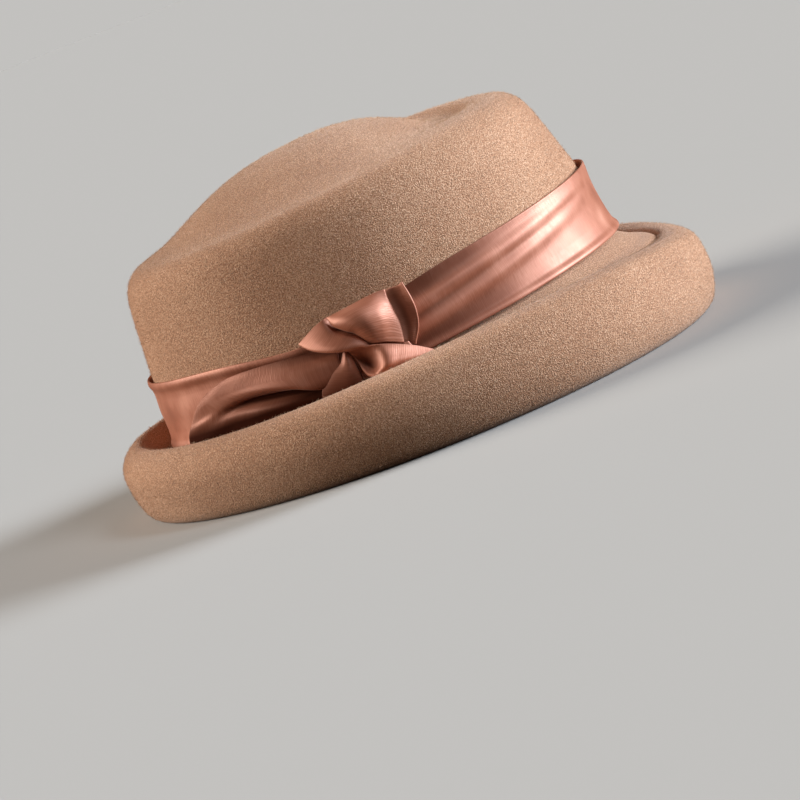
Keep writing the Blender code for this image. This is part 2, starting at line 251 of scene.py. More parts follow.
def satin_finish():
    made, shader, start = new_finish("copper_satin")
    cloth = start.node("ShaderNodeTexCoord", output=2)
    even_ribs = cloth.node(
        "ShaderNodeTexWave",
        {"wave_type": "BANDS", "bands_direction": "X", "wave_profile": "SIN"},
        {"Vector": cloth, "Scale": math.pi / 10 / RIB_PITCH, "Distortion": 2.0, "Detail": 1.0},
        1,
    )
    stretched = cloth.node(
        "ShaderNodeMapping", {}, {"Vector": cloth, "Scale": (1 / RIB_PITCH, 1 / RIB_LENGTH, 1.0)}
    )
    streaks = cloth.node("ShaderNodeTexNoise", {}, {"Vector": stretched, "Scale": 1.0, "Detail": 2.0})
    ribs = even_ribs * 0.2 + streaks * 0.8
    draws = noise(cloth, DRAW_SIZE, 1.0)
    shade = ribs * 0.35 + draws * 0.65
    colour = shade.node(
        "ShaderNodeValToRGB",
        {"stops": [(0.22, SATIN_DEEP), (0.5, SATIN_MID), (0.78, SATIN_ROSE)]},
        {"Fac": shade},
    )
    # The share of painted shade that each satin piece stores.
    hollow = cloth.node("ShaderNodeAttribute", {"attribute_name": "hollow"}, output=2)
    feed(shader, "Base Color", colour)
    feed(shader, "Roughness", ribs * 0.34 + SMOOTHEST_SATIN)
    relief = cloth.node("ShaderNodeBump", {}, {"Height": ribs, "Distance": SATIN_RELIEF, "Strength": 0.6})
    feed(shader, "Normal", relief)
    shader.inputs["Metallic"].default_value = 0.18
    shader.inputs["Specular IOR Level"].default_value = 0.8
    shader.inputs["Specular Tint"].default_value = (1.0, 0.78, 0.69, 1.0)
    shader.inputs["Sheen Weight"].default_value = 0.1
    shader.inputs["Sheen Roughness"].default_value = 0.35
    shader.inputs["Sheen Tint"].default_value = (1.0, 0.76, 0.64, 1.0)
    # A dark, dull shader, mixed in as painted shade.
    dull = cloth.node(
        "ShaderNodeBsdfPrincipled",
        {},
        {"Base Color": SATIN_PAINTED_SHADE, "Roughness": 0.9, "Specular IOR Level": 0.1},
    )
    shine = Tone(made.node_tree, shader.outputs[0])
    both = cloth.node("ShaderNodeMixShader", {}, {0: hollow, 1: shine, 2: dull})
    feed(made.node_tree.nodes["Material Output"], "Surface", both)
    return made


satin = satin_finish()
print("finish", satin.name)

# %% [markdown]
# ## Ribbon, thread and wire
#
# The sweatband inside is a stiff brown ribbon with upright ribs, sewn in with matching thread.
# A steel wire with a crimped sleeve keeps the roll's oval. It is shut inside the roll, so a
# drawn steel with fine scratches is all that it needs.

# %% Ribbon, thread and wire
RIBBON_DARK = (0.075, 0.036, 0.02, 1.0)
RIBBON_LIGHT = (0.20, 0.105, 0.06, 1.0)
RIBBON_RIB = 1.1 * MM
THREAD_COLOUR = (0.42, 0.26, 0.15, 1.0)
STEEL_COLOUR = (0.46, 0.46, 0.45, 1.0)
RIBBON_RELIEF = 0.4 * MM
WEAR_SIZE = 1 / 180.0


def ribbon_finish():
    made, shader, start = new_finish("brown_ribbon")
    cloth = start.node("ShaderNodeTexCoord", output=2)
    ribs = cloth.node(
        "ShaderNodeTexWave",
        {"wave_type": "BANDS", "bands_direction": "X", "wave_profile": "SIN"},
        {"Vector": cloth, "Scale": math.pi / 10 / RIBBON_RIB, "Distortion": 0.3, "Detail": 1.0},
        1,
    )
    wear = noise(cloth, WEAR_SIZE, 4.0)
    shade = ribs * 0.7 + wear * 0.3
    colour = shade.node(
        "ShaderNodeValToRGB", {"stops": [(0.1, RIBBON_DARK), (0.9, RIBBON_LIGHT)]}, {"Fac": shade}
    )
    feed(shader, "Base Color", colour)
    feed(shader, "Roughness", 0.85 - ribs * 0.2)
    relief = cloth.node("ShaderNodeBump", {}, {"Height": ribs, "Distance": RIBBON_RELIEF, "Strength": 0.6})
    feed(shader, "Normal", relief)
    return made


def speckled_finish(name, colour, roughness, metallic, size):
    """A plain colour that a fine noise darkens and roughens a little."""
    made, shader, start = new_finish(name)
    place = start.node("ShaderNodeTexCoord", output=3)
    specks = noise(place, size, 3.0)
    shadow = tuple(part * 0.55 for part in colour[:3]) + (1.0,)
    feed(shader, "Base Color", mixed(place, specks, shadow, colour))
    feed(shader, "Roughness", specks * 0.2 + (roughness - 0.1))
    shader.inputs["Metallic"].default_value = metallic
    return made


ribbon = ribbon_finish()
thread = speckled_finish("camel_thread", THREAD_COLOUR, 0.8, 0.0, 0.4 * MM)
steel = speckled_finish("drawn_steel", STEEL_COLOUR, 0.4, 1.0, 0.5 * MM)
for node_name in ("brim_wire", "wire_joiner"):
    frame["nodes"][node_name].data.materials.clear()
    frame["nodes"][node_name].data.materials.append(steel)
print("finishes", ribbon.name, thread.name, steel.name)

# %% [markdown]
# ## Grids that become cloth
#
# Felt and ribbon start flat. Each piece here starts as a flat grid too, whose points are moved
# to the place that the shape's formula gives. A Solidify modifier then gives the wall its
# thickness, and a Subdivision Surface rounds the edges of the ribbons.


# %% Grids that become cloth
def select_only(piece):
    bpy.ops.object.select_all(action="DESELECT")
    piece.select_set(True)
    bpy.context.view_layer.objects.active = piece


def smooth_line(points, per_gap):
    """A smooth line through the points, with per_gap steps between neighbours."""
    points = np.asarray(points, float)
    padded = np.concatenate([2 * points[:1] - points[1:2], points, 2 * points[-1:] - points[-2:-1]])
    step = (np.arange(per_gap) / per_gap).reshape((-1,) + (1,) * (points.ndim - 1))
    line = []
    for a, b, c, d in zip(padded, padded[1:], padded[2:], padded[3:]):
        bend = (2 * a - 5 * b + 4 * c - d) * step**2 + (3 * b - a - 3 * c + d) * step**3
        line.append(0.5 * (2 * b + (c - a) * step + bend))
    line.append(points[-1:])
    return np.concatenate(line)


def grid_piece(name, points, finish, closed=False, painted_shade_shares=None):
    """A flat grid whose points are moved to points[row, column], with a share of painted shade."""
    rows, columns = points.shape[:2]
    bpy.ops.object.select_all(action="DESELECT")
    bpy.ops.mesh.primitive_grid_add(x_subdivisions=columns - 1, y_subdivisions=rows - 1, size=1.0)
    piece = bpy.context.object
    piece.name = name
    piece.data.name = name
    flat = np.empty(len(piece.data.vertices) * 3)
    piece.data.vertices.foreach_get("co", flat)
    flat = flat.reshape(-1, 3) + 0.5
    column = np.rint(flat[:, 0] * (columns - 1)).astype(int)
    row = np.rint(flat[:, 1] * (rows - 1)).astype(int)
    piece.data.vertices.foreach_set("co", points[row, column].ravel())
    # Stores each point's share of painted shade, which the satin's shader reads.
    if painted_shade_shares is not None:
        marks = piece.data.attributes.new("hollow", "FLOAT", "POINT")
        marks.data.foreach_set("value", painted_shade_shares[row, column].ravel())
    piece.data.update()
    piece.data.materials.append(finish)
    if closed:
        bpy.ops.object.mode_set(mode="EDIT")
        bpy.ops.mesh.select_all(action="SELECT")
        bpy.ops.mesh.remove_doubles(threshold=0.001 * MM)
        bpy.ops.object.mode_set(mode="OBJECT")
    return piece


def uv_in_metres(piece, length, width):
    """Stretches the grid's UV map so that its units are metres along and across the cloth."""
    layer = piece.data.uv_layers.active.data
    values = np.empty(len(layer) * 2)
    layer.foreach_get("uv", values)
    layer.foreach_set("uv", (values.reshape(-1, 2) * (length, width)).ravel())


def add_wall(piece, thickness, offset, rounding):
    """Gives the sheet its thickness, and rounds its edges unless rounding is 0.

    offset 1 thickens it above its face, -1 below and 0 on both sides.
    """
    select_only(piece)
    wall = piece.modifiers.new("wall", "SOLIDIFY")
    wall.thickness = thickness
    wall.offset = offset
    wall.use_even_offset = True
    bpy.ops.object.modifier_apply(modifier="wall")
    if rounding:
        smooth = piece.modifiers.new("rounding", "SUBSURF")
        smooth.levels = rounding
        smooth.render_levels = rounding
        bpy.ops.object.modifier_apply(modifier="rounding")
    bpy.ops.object.shade_smooth()


def settle(piece, slot, *nodes):
    """Rides the piece on the hat and hides the solids it stands for; its slot is not used."""
    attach(piece, BODY)
    if nodes:
        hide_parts(*nodes)
    print(piece.name, len(piece.data.polygons), "faces")


# %% [markdown]
# ## Crown
#
# A felt crown is pulled over a wooden block while it is hot and wet. Its wall leans in and turns
# at a soft edge into a low dome, and the felt is pressed down behind the front edge. Three
# outlines, for the front, the sides and the back, are blended round the head's oval. Felt is never
# quite even, so the edge is lifted a little to the left of the front.

# %% Crown
mounts = {mount["name"]: mount for mount in frame["record"]["mounts"]}
HEAD_CENTRE = Vector(mounts["head_opening"]["pos_m"])
HEAD_HALF_LENGTH = 101.0 * MM
HEAD_HALF_WIDTH = 85.0 * MM
CROWN_TILT = math.radians(5.3)
EDGE_HEIGHTS = np.array([73.0, 73.0, 74.0]) * MM
FELT_THICKNESS = 2.6 * MM
FAR_LIFT = 2.5 * MM
FAR_LIFT_TURN = -0.62
FAR_LIFT_INSET = 27.0 * MM
FAR_LIFT_REACH = 12.0 * MM
LOWEST_FELT = 1.0 * MM
ROUND_STEPS = 240
ROW_STEPS = 8
round_angles = np.linspace(0.0, 2 * math.pi, ROUND_STEPS + 1)

# Share of the edge's height, then how far the wall has come in at the front, sides and back
WALL_STEPS = [
    (0.0, 0.0, 0.0, 0.0),
    (0.2, 0.5, 1.5, 1.5),
    (0.4, 1.3, 3.2, 3.2),
    (0.6, 4.3, 5.8, 5.6),
    (0.75, 6.7, 8.4, 7.4),
    (0.88, 9.6, 11.4, 9.8),
    (0.95, 13.6, 14.4, 13.2),
    (0.985, 18.0, 17.6, 17.0),
    (1.0, 24.0, 22.0, 21.0),
]
# Size of each ring of the top, then its height at the front, sides and back
TOP_STEPS = [
    (0.92, 73.0, 74.6, 75.2),
    (0.82, 71.4, 77.2, 77.6),
    (0.70, 73.5, 80.6, 81.4),
    (0.55, 80.5, 84.8, 85.8),
    (0.38, 86.8, 88.6, 89.4),
    (0.20, 90.2, 90.8, 91.2),
    (0.0, 91.4, 91.4, 91.4),
]


def hump(value, centre, width):
    """1 at the centre, falling smoothly to nothing about two widths away."""
    return np.exp(-(((value - centre) / width) ** 2))


def from_front_to_back(angle, front, side, back, power=2.0):
    """A size that changes round the hat: angle 0 is the wearer's left, -90 degrees the front."""
    end = np.where(np.sin(angle) > 0, back, front)
    return side + (end - side) * np.abs(np.sin(angle)) ** power


def from_crown(side, forward, height):
    """Points given across the hat, towards its front and above the headline, in world space."""
    y = HEAD_CENTRE.y - forward * math.cos(CROWN_TILT) + height * math.sin(CROWN_TILT)
    z = HEAD_CENTRE.z + forward * math.sin(CROWN_TILT) + height * math.cos(CROWN_TILT)
    return np.stack(np.broadcast_arrays(side, y, z), axis=-1)


def oval(angle, insets, height, out=0.0):
    """A ring round the crown, drawn in from the head's oval by its front, side and back insets."""
    front, side, back = insets
    half_length = HEAD_HALF_LENGTH - np.where(np.sin(angle) < 0, front, back) + out
    half_width = HEAD_HALF_WIDTH - side + out
    return from_crown(half_width * np.cos(angle), -half_length * np.sin(angle), height)


def edge_height(angle):
    return from_front_to_back(angle, *EDGE_HEIGHTS)


def crown_rows():
    """Rows of the share of the edge's height, three insets and three heights, bottom to top."""
    rows = [(step[0], *np.array(step[1:]) * MM, *step[0] * EDGE_HEIGHTS) for step in WALL_STEPS]
    halves = np.array([HEAD_HALF_LENGTH, HEAD_HALF_WIDTH, HEAD_HALF_LENGTH])
    edge = np.array(rows[-1][1:4])
    for scale, *heights in TOP_STEPS:
        rows.append((1.0, *(halves - (halves - edge) * scale), *np.array(heights) * MM))
    return smooth_line(rows, ROW_STEPS)


CROWN_ROWS = crown_rows()
WALL_ROWS = CROWN_ROWS[: ROW_STEPS * (len(WALL_STEPS) - 1) + 1]
felt_faces = {}


def wall_insets(share):
    """The wall's front, side and back insets at this share of the edge's height."""
    return [np.interp(share, WALL_ROWS[:, 0], WALL_ROWS[:, column]) for column in (1, 2, 3)]


def far_lift(angle, front_inset):
    """The edge stands a little higher between the front and the wearer's left."""
    near_edge = hump(front_inset, FAR_LIFT_INSET, FAR_LIFT_REACH)
    return FAR_LIFT * near_edge * np.clip(np.cos(angle - FAR_LIFT_TURN), 0.0, 1.0) ** 6


def make_crown():
    rings = []
    for row in CROWN_ROWS:
        height = np.maximum(from_front_to_back(round_angles, *row[4:]), LOWEST_FELT)
        height = height + far_lift(round_angles, row[1])
        rings.append(oval(round_angles, row[1:4], height))
    piece = grid_piece("felt_crown", np.array(rings), felt, closed=True)
    felt_faces[piece.name] = len(piece.data.polygons)
    add_wall(piece, FELT_THICKNESS, -1, 0)
    settle(piece, "felt", "crown")
    return piece


crown = make_crown()

# %% [markdown]
# ## Brim
#
# The brim is a strip of felt bent to one long section: a collar inside the crown, a slope down
# to the roll's foot, round its outer side, over the crest and back in, where its cut edge sinks
# into the nap of the slope. The section's points change slowly round the hat, because the roll
# is wider and more open in front than behind.

# %% Brim
brim_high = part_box("brim")[1]
BRIM_HALF_WIDTH = brim_high[0]
BRIM_HALF_LENGTH = brim_high[1]
COLLAR_HEIGHT = 11.0 * MM
BRIM_STEPS = 300
CREST_HEIGHT = 36.0
CREST_RISE = 6.5
CREST_ARCH = 3.25
CREST_BEND_AHEAD = 3.25
CREST_BEND_BEHIND = 4.75
FRONT_DIP = 3.5
brim_angles = np.linspace(0.0, 2 * math.pi, BRIM_STEPS + 1)


def headline_and_edge(angle):
    inner = oval(angle, (0.0, 0.0, 0.0), 0.0)
    outer = np.stack([BRIM_HALF_WIDTH * np.cos(angle), BRIM_HALF_LENGTH * np.sin(angle)], axis=-1)
    return inner, outer


def crest_height(angle):
    """Height of the roll's crest, which is tallest beside the front and lowest at the back."""
    ahead = -np.sin(angle)
    bend = np.where(ahead > 0, CREST_BEND_AHEAD, CREST_BEND_BEHIND)
    dip = FRONT_DIP * np.clip(ahead, 0.0, 1.0) ** 10
    return (CREST_HEIGHT + CREST_RISE * ahead - CREST_ARCH * ahead**2 - bend * ahead**3 - dip) * MM


def brim_section(angle, head, reach):
    """The middle of the felt, from the collar's upper edge to the cut edge of the lip.

    Each row is the distance out from the headline and the height above the floor.
    """
    half = FELT_THICKNESS / 2
    valley_out = reach * from_front_to_back(angle, 0.50, 0.29, 0.27, 4)
    valley = head + from_front_to_back(angle, -10.8, -2.8, -2.0, 1.8) * MM
    bottom_out = reach * from_front_to_back(angle, 0.72, 0.58, 0.60)
    crest_out = reach * from_front_to_back(angle, 0.78, 0.66, 0.64)
    crest = crest_height(angle) - half
    tip = from_front_to_back(angle, 14.5, 17.0, 18.0) * MM
    lean = math.sin(CROWN_TILT) * np.sin(angle) - 0.12
    collar = -4.4 * MM
    level = np.zeros_like(reach)
    return [
        (collar + lean * COLLAR_HEIGHT, head + COLLAR_HEIGHT),
        (collar + lean * 3.0 * MM, head + 3.0 * MM),
        (level + collar + 0.5 * MM, head - 0.6 * MM),
        (level - 1.2 * MM, head - 2.1 * MM),
        (valley_out * 0.5, (head - 2.6 * MM + valley) / 2 - half * 0.6),
        (valley_out, valley - half),
        (valley_out + 1.6 * MM, valley * 0.52),
        (bottom_out - 3.2 * MM, level + 3.4 * MM),
        (bottom_out, level + half - 0.5 * MM),
        (bottom_out + (reach - bottom_out) * 0.55, level + 3.6 * MM),
        (reach - half, tip),
        (crest_out + (reach - crest_out) * 0.62, crest - 4.1 * MM),
        (crest_out, crest),
        ((crest_out + valley_out) / 2 + 1.4 * MM, crest * 0.6 + valley * 0.4 + 1.0 * MM),
        (valley_out + 2.4 * MM, valley + 0.9 * MM),
        (valley_out - 0.4 * MM, valley - 1.2 * MM),
    ]


def press_flat(piece):
    """Presses the underside of the roll flat on the floor."""
    places = np.empty(len(piece.data.vertices) * 3)
    piece.data.vertices.foreach_get("co", places)
    places = places.reshape(-1, 3)
    places[:, 2] = np.maximum(places[:, 2], 0.0)
    piece.data.vertices.foreach_set("co", places.ravel())
    piece.data.update()


def make_brim():
    inner, outer = headline_and_edge(brim_angles)
    away = outer - inner[:, :2]
    reach = np.linalg.norm(away, axis=1)
    away = away / reach[:, None]
    section = smooth_line(np.array(brim_section(brim_angles, inner[:, 2], reach)), 6)
    out, height = section[:, 0], section[:, 1]
    ground = inner[None, :, :2] + away[None] * out[..., None]
    points = np.concatenate([ground, height[..., None]], axis=-1)
    piece = grid_piece("felt_brim", points, felt, closed=True)
    felt_faces[piece.name] = len(piece.data.polygons)
    add_wall(piece, FELT_THICKNESS, 0, 0)
    press_flat(piece)
    settle(piece, "felt", "brim")
    return piece


brim = make_brim()

# %% [markdown]
# ## Band
#
# The ribbon lies round the crown in soft lengthwise folds. They are deep beside the knot, where
# the ribbon is gathered, and fade towards the front and the back. Its two hems stand a little
# off the felt, and a shadow shows behind the upper one. Between the folds beside the knot shade
# is painted on the ribbon, so that the satin is dull and dark there.

# %% Band
BAND_GAP = 0.5 * MM
BAND_THICKNESS = 0.8 * MM
BAND_FOOT = 0.6 * MM
BAND_CUT = (0.034, 0.612)
BAND_ROWS = 48
FRONT_STAND_OFF = np.array([2.4, 1.6, 1.1, 0.9, 0.8, 0.8, 0.9, 1.4, 2.2]) * MM
SIDE_STAND_OFF = np.array([0.7, 0.3, 0.1, 0.1, 0.1, 0.1, 0.1, 0.3, 0.7]) * MM
KNOT_TURN = math.pi
FOLD_FADE = 0.9
FULL_FOLD = 1.5 * MM
# Painted shade between the folds beside the knot: its darkest share, and where it lies.
BAND_PAINTED_SHADE = 0.75
BAND_SHADE_TURN = 0.12
BAND_SHADE_REACH = 0.42


def from_knot(angle):
    """The angle round the hat from the knot, positive towards the front."""
    return np.arctan2(np.sin(angle - KNOT_TURN), np.cos(angle - KNOT_TURN))


def band_top(angle):
    full = from_front_to_back(angle, 31.0, 28.5, 30.0) * MM
    return full - 6.0 * MM * hump(from_knot(angle), -0.28, 0.36)


def band_folds(share, turn):
    """Height of the folds: two that rise from the knot to the front, and a lip towards the back."""
    ahead = np.clip(turn, 0.0, 2.0)
    behind = np.clip(-turn, 0.0, 2.0)
    upper = 2.0 * hump(share, 0.62 + 0.20 * ahead, 0.10) * hump(ahead, 0.0, 1.0)
    lower = 1.7 * hump(share, 0.31 + 0.32 * ahead, 0.10) * hump(ahead, 0.0, 0.9)
    hem = 0.8 * hump(share, 0.03, 0.05)
    back_lip = 0.9 * hump(share, 0.94, 0.07) * np.clip(behind * 2.0, 0.0, 1.0)
    back_fold = 0.7 * hump(share, 0.55, 0.16) * np.clip(behind - 0.8, 0.0, 0.5)
    fade = np.clip((math.pi - np.abs(turn)) / FOLD_FADE, 0.0, 1.0)
    return (np.where(turn > 0, upper + lower, back_lip + back_fold) * fade + hem) * MM


def band_painted_shade(share, turn):
    """Painted shade between the ribbon's folds, beside the knot."""
    between = 1.0 - np.clip(band_folds(share, turn) / FULL_FOLD, 0.0, 1.0)
    beside_knot = hump(turn, BAND_SHADE_TURN, BAND_SHADE_REACH)
    return np.where(turn > 0, BAND_PAINTED_SHADE * between * beside_knot, 0.0)


def make_band():
    key_shares = np.linspace(0.0, 1.0, len(FRONT_STAND_OFF))
    turn = from_knot(round_angles)
    rows = []
    painted_shade_shares = []
    for share in np.linspace(0.0, 1.0, BAND_ROWS + 1):
        height = BAND_FOOT + (band_top(round_angles) - BAND_FOOT) * share
        front_off = np.interp(share, key_shares, FRONT_STAND_OFF)
        side_off = np.interp(share, key_shares, SIDE_STAND_OFF)
        swell = from_front_to_back(round_angles, front_off, side_off, side_off, 4)
        insets = wall_insets(height / edge_height(round_angles))
        rows.append(oval(round_angles, insets, height, BAND_GAP + swell + band_folds(share, turn)))
        painted_shade_shares.append(band_painted_shade(share, turn))
    piece = grid_piece("satin_ribbon_band", np.array(rows), satin, closed=True, painted_shade_shares=np.array(painted_shade_shares))
    uv_in_metres(piece, BAND_CUT[1], BAND_CUT[0])
    add_wall(piece, BAND_THICKNESS, 1, 1)
    settle(piece, "satin", "satin_band")


make_band()

# %% [markdown]
# ## Knot
#
# The ribbon's ends are tied in a loose knot on the wearer's right side. Each loop and end is a
# bent sheet through a few rails, given as distance towards the front, height above the headline
# and distance out from the felt, in millimetres. Some layers cut into each other where the knot
# is gathered, and the tail and the petal also cut into the band or the brim. Shade is painted
# on a sheet where it lies below its neighbouring points, where it lies behind the roll and
# where the loops shelter it.

# %% Knot
KNOT_THICKNESS = 0.7 * MM
# Painted shade on the knot: fold reach and depth, where it starts, and the roll's shadow height.
SHADE_REACH = 16
FULL_SHADE_DEPTH = 2.2
SHADE_START = 0.1
ROLL_SHADOW_DEPTH = 6.0


def on_wall(forward, height, out):
    """Points on the wearer's right side of the crown's wall, from millimetres."""
    front, side, back = wall_insets(height * MM / EDGE_HEIGHTS[1])
    half_length = HEAD_HALF_LENGTH - np.where(forward > 0, front, back)
    half_width = HEAD_HALF_WIDTH - side
    turn = np.arcsin(forward * MM / half_length)
    normal = np.stack([np.cos(turn) / half_width, np.sin(turn) / half_length])
    normal = normal / np.linalg.norm(normal, axis=0)
    across = half_width * np.cos(turn) + normal[0] * out * MM
    along = half_length * np.sin(turn) + normal[1] * out * MM
    return from_crown(-across, along, height * MM)


def spread(values, reach):
    """Evens out the values over reach steps of the grid, from row to row."""
    weights = hump(np.arange(-2 * reach, 2 * reach + 1), 0.0, reach)
    tall = np.pad(values, [(2 * reach, 2 * reach), (0, 0)], mode="reflect")
    columns = [np.convolve(column, weights / weights.sum(), mode="valid") for column in tall.T]
    return np.array(columns).T


def above_roll(forward, height):
    """Height above the crest of the brim's roll, in millimetres."""
    crest = crest_height(-np.arcsin(forward * MM / BRIM_HALF_LENGTH))
    headline = HEAD_CENTRE.z + forward * MM * math.sin(CROWN_TILT)
    return height - (crest - headline) / MM


def satin_piece(name, rails, cut, node, roll_shadow=0.0, loop_shade=0.0):
    """Makes one bent sheet of the knot through its rails, with shade painted in its folds."""
    along = np.array([smooth_line(rail, 10) for rail in rails])
    surface = smooth_line(along, 10)
    points = on_wall(surface[..., 0], surface[..., 1], surface[..., 2])
    # Painted shade: deeper below the neighbours, painted shadow behind the roll, shade under loops.
    sunk = spread(surface[..., 2], SHADE_REACH) - surface[..., 2]
    roll_shadow_share = roll_shadow * (1.0 - above_roll(surface[..., 0], surface[..., 1]) / ROLL_SHADOW_DEPTH)
    deepest = np.maximum(sunk / FULL_SHADE_DEPTH - SHADE_START, roll_shadow_share)
    painted_shade_shares = np.clip(deepest + loop_shade, loop_shade, 1.0)
    piece = grid_piece(name, points, satin, painted_shade_shares=painted_shade_shares)
    uv_in_metres(piece, cut[1], cut[0])
    add_wall(piece, KNOT_THICKNESS, 0, 1)
    settle(piece, "satin", node)


satin_piece(
    "satin_knot_core",
    [
        [(-17, 15.0, 3.3), (-10, 16.0, 4.2), (-2, 14.0, 4.2), (4, 9.0, 3.3)],
        [(-17, 10.0, 3.4), (-10, 10.5, 4.4), (-2, 9.0, 4.4), (5, 5.0, 3.4)],
        [(-17, 5.0, 3.3), (-10, 4.0, 4.2), (-2, 3.0, 4.2), (6, 1.0, 3.3)],
    ],
    (0.0105, 0.023),
    "knot_core",
)
satin_piece(
    "satin_left_tail",
    [
        [(-21, 17.2, 3.6), (-31, 19.6, 4.4), (-42, 22.0, 5.8), (-52, 23.5, 6.2), (-61, 24.0, 6.2),
         (-66, 23.4, 6.4), (-70, 22.2, 6.8)],
        [(-21, 15.6, 4.8), (-31, 17.2, 6.0), (-42, 19.4, 7.0), (-53, 21.2, 7.0), (-63, 21.9, 6.8),
         (-70, 21.2, 7.0), (-75, 19.7, 7.2)],
        [(-21.5, 12.6, 7.6), (-31.5, 13.4, 8.8), (-43, 15.6, 8.8), (-55, 17.8, 7.6), (-66, 18.4, 7.0),
         (-74, 17.6, 7.4), (-79, 15.8, 7.8)],
        [(-22, 6.4, 6.4), (-32, 6.4, 8.4), (-41, 11.0, 9.4), (-50, 13.8, 8.4), (-62, 14.8, 6.6),
         (-74, 13.6, 7.0), (-82, 11.8, 8.2)],
        [(-22.5, 4.8, 3.4), (-33, 5.2, 2.6), (-43, 8.8, 2.4), (-52, 10.6, 2.2), (-62, 12.0, 2.8),
         (-75, 11.0, 7.2), (-83.5, 9.6, 8.6)],
        [(-23, 2.8, 4.2), (-34, 3.2, 5.4), (-45, 5.2, 6.0), (-56, 7.2, 5.8), (-66, 8.8, 5.4),
         (-77, 7.8, 7.0), (-85, 7.0, 8.6)],
        [(-23.5, 1.2, 3.2), (-35, 0.6, 3.6), (-47, 1.6, 3.8), (-59, 3.4, 3.8), (-70, 4.8, 4.6),
         (-79, 4.2, 6.4), (-86.3, 3.8, 8.0)],
        [(-24, -0.6, 2.4), (-36, -1.8, 2.2), (-48, -1.4, 2.2), (-61, -0.6, 2.2), (-72, 0.0, 2.8),
         (-81, 0.2, 4.4), (-87.2, 0.6, 6.8)],
    ],
    (0.029, 0.068),
    "knot_left_tail",
    # Painted shadow behind the roll, and painted shade under the knot's other layers.
    roll_shadow=0.9,
    loop_shade=0.22,
)
satin_piece(
    "satin_left_lobe",
    [
        [(-19.3, 29.9, 4.2), (-18.9, 26.9, 3.4), (-17.3, 24.2, 3.2), (-14.0, 22.0, 3.6),
         (-11.2, 19.4, 4.6), (-9.6, 16.4, 6.0), (-9.0, 13.6, 7.4)],
        [(-21.5, 29.4, 5.0), (-20.6, 26.6, 6.0), (-18.6, 23.2, 7.2), (-15.2, 20.8, 8.4),
         (-12.2, 18.4, 9.0), (-10.3, 15.8, 9.2), (-9.3, 13.4, 8.8)],
        [(-25.5, 28.2, 4.8), (-23.4, 24.8, 7.0), (-20.8, 21.4, 9.0), (-17.4, 19.2, 10.4),
         (-14.2, 17.2, 11.0), (-11.6, 15.2, 10.6), (-9.8, 13.2, 9.4)],
        [(-29.8, 26.4, 4.4), (-27.0, 22.8, 7.2), (-23.8, 19.8, 9.6), (-20.0, 17.8, 11.2),
         (-16.2, 16.2, 11.4), (-12.8, 14.8, 10.6), (-10.3, 13.1, 9.2)],
        [(-33.3, 24.8, 3.8), (-30.0, 21.4, 6.2), (-26.0, 18.9, 8.2), (-21.6, 17.0, 9.6),
         (-17.4, 15.4, 9.8), (-13.6, 14.4, 9.2), (-10.7, 13.0, 8.4)],
        [(-32.0, 24.0, 3.0), (-29.0, 21.4, 3.8), (-25.4, 19.4, 4.4), (-21.2, 17.8, 5.0),
         (-17.2, 16.3, 5.6), (-13.6, 15.0, 6.2), (-10.9, 13.3, 7.0)],
    ],
    (0.017, 0.024),
    "knot_left_lobe",
)
satin_piece(
    "satin_upper_loop",
    [
        [(-9.2, 13.6, 6.6), (-11.8, 18.6, 5.6), (-14.8, 21.6, 5.0), (-17.6, 25.0, 5.0),
         (-18.9, 29.4, 5.4)],
        [(-8.8, 13.8, 8.4), (-11.2, 19.8, 9.4), (-14.0, 22.8, 9.8), (-17.2, 26.2, 8.4),
         (-18.6, 29.8, 5.8)],
        [(-8.0, 13.6, 9.2), (-9.2, 20.8, 12.2), (-11.2, 24.6, 12.6), (-13.8, 27.6, 10.6),
         (-15.4, 29.9, 6.8)],
        [(-6.4, 13.0, 9.8), (-5.8, 20.6, 13.0), (-6.8, 25.0, 13.2), (-8.6, 28.2, 11.4),
         (-9.8, 30.2, 8.0)],
        [(-4.0, 12.0, 9.6), (-2.0, 19.4, 11.6), (-2.2, 24.4, 11.8), (-3.2, 28.2, 10.4),
         (-4.0, 30.4, 7.8)],
        [(-1.2, 10.4, 8.6), (1.2, 18.0, 9.2), (1.4, 23.4, 9.4), (1.0, 27.6, 8.6), (0.8, 30.4, 7.2)],
        [(2.2, 8.2, 7.4), (4.0, 15.0, 7.0), (4.2, 21.0, 7.0), (4.1, 26.0, 6.9), (4.4, 30.0, 6.8)],
        [(2.0, 8.0, 6.4), (3.6, 14.8, 6.0), (3.8, 20.6, 5.9), (3.8, 25.6, 5.9), (4.2, 29.8, 6.2)],
    ],
    (0.029, 0.018),
    "knot_upper_loop",
)
satin_piece(
    "satin_upper_end",
    [
        [(2.8, 8.0, 5.4), (2.6, 14.0, 5.0), (2.6, 20.0, 4.8), (2.8, 25.0, 4.8), (4.0, 29.4, 5.4)],
        [(4.4, 7.4, 5.0), (6.4, 13.6, 4.0), (7.0, 19.6, 3.8), (6.8, 24.8, 4.0), (7.2, 29.2, 5.2)],
        [(5.4, 6.4, 5.8), (8.8, 12.4, 5.6), (9.8, 18.2, 5.6), (9.8, 24.2, 5.6), (9.8, 28.8, 6.0)],
        [(6.2, 5.4, 7.0), (10.2, 11.8, 8.2), (11.9, 17.8, 8.6), (12.2, 23.6, 8.4), (11.8, 29.5, 7.4)],
    ],
    (0.010, 0.024),
    "knot_upper_end",
)
